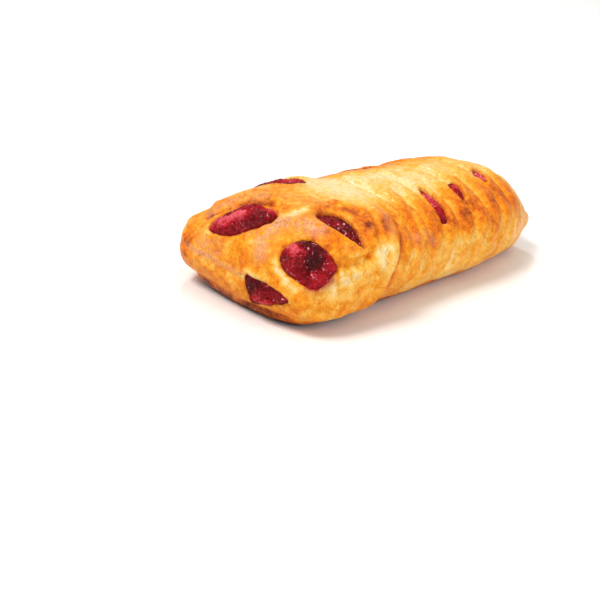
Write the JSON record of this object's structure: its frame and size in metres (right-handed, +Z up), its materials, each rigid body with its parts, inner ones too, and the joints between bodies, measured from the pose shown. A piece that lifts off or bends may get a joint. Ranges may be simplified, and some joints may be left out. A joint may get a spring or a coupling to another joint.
{
  "type": "strawberry bun",
  "caption": "Log-shaped puff pastry bun with sealed ends and a slashed lattice crust, open in leaf-shaped windows over a strawberry filling.",
  "frame": {"origin": "on the flat base, below the middle of the bun's bounding box", "axes": "+X along the bun, from its wider, puffed end to the narrower far end; +Z up; +Y across the bun, to the left when looking along +X"},
  "size_m": [0.1504, 0.0722, 0.0353],
  "materials": {
    "puff_pastry": "egg-washed and baked, satin",
    "strawberry": "wet, glossy fruit"
  },
  "bodies": {
    "root": {"pastry": "puff_pastry", "filling": "strawberry"}
  },
  "joints": []
}
